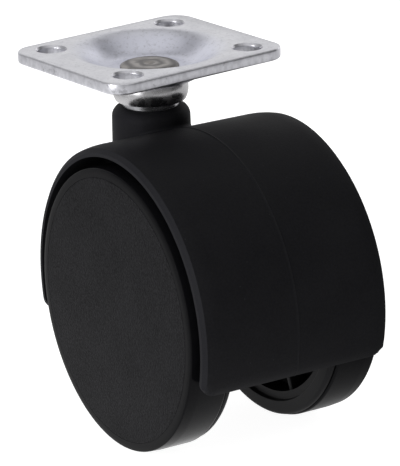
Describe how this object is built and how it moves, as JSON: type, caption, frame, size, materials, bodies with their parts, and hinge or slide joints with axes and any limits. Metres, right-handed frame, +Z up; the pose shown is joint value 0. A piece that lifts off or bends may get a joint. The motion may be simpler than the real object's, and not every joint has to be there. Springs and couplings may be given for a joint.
{
  "type": "chair caster wheel",
  "caption": "Small hooded twin-wheel furniture caster with a dished screw-on top plate; it swivels on a ball-collared pin and both wheels turn freely.",
  "frame": {"origin": "centre of the plate's top face, on the swivel axis", "axes": "+Z up through the plate along the swivel axis, X along the plate's long side, Y along its short side; the axle trails on the -Y side"},
  "size_m": [0.0431, 0.0638, 0.0645],
  "materials": {
    "zinc_plate": "zinc plated, satin",
    "nickel_pin": "nickel plated, bright",
    "bright_washer": "ground, bright",
    "plain_steel": "turned, oiled",
    "spring_steel": "blackened spring steel",
    "housing_nylon": "moulded, fine satin",
    "core_nylon": "moulded, satin",
    "tread_nylon": "moulded, smooth semi-gloss",
    "cap_nylon": "moulded, fine spark texture",
    "acetal": "moulded, smooth"
  },
  "bodies": {
    "plate": {"top_plate": "zinc_plate", "kingpin": "nickel_pin", "stem_ring": "spring_steel"},
    "swivel_housing": {"housing": "housing_nylon", "stem_bush": "plain_steel", "swivel_washer": "bright_washer", "axle": "plain_steel", "left_inner_washer": "plain_steel", "right_inner_washer": "plain_steel", "left_push_nut": "spring_steel", "right_push_nut": "spring_steel"},
    "left_wheel": {"left_wheel_core": "core_nylon", "left_tread": "tread_nylon", "left_wheel_cap": "cap_nylon", "left_hub_bush": "acetal"},
    "right_wheel": {"right_wheel_core": "core_nylon", "right_tread": "tread_nylon", "right_wheel_cap": "cap_nylon", "right_hub_bush": "acetal"}
  },
  "joints": [
    {"name": "swivel", "type": "hinge", "parent": "plate", "child": "swivel_housing", "pos_m": [0, 0, 0], "axis": [0, 0, 1], "continuous": true},
    {"name": "left_wheel_spin", "type": "hinge", "parent": "swivel_housing", "child": "left_wheel", "pos_m": [-0.00188, -0.0179, -0.0395], "axis": [0.9945, -0.1045, 0], "continuous": true},
    {"name": "right_wheel_spin", "type": "hinge", "parent": "swivel_housing", "child": "right_wheel", "pos_m": [-0.00188, -0.0179, -0.0395], "axis": [0.9945, -0.1045, 0], "continuous": true}
  ]
}
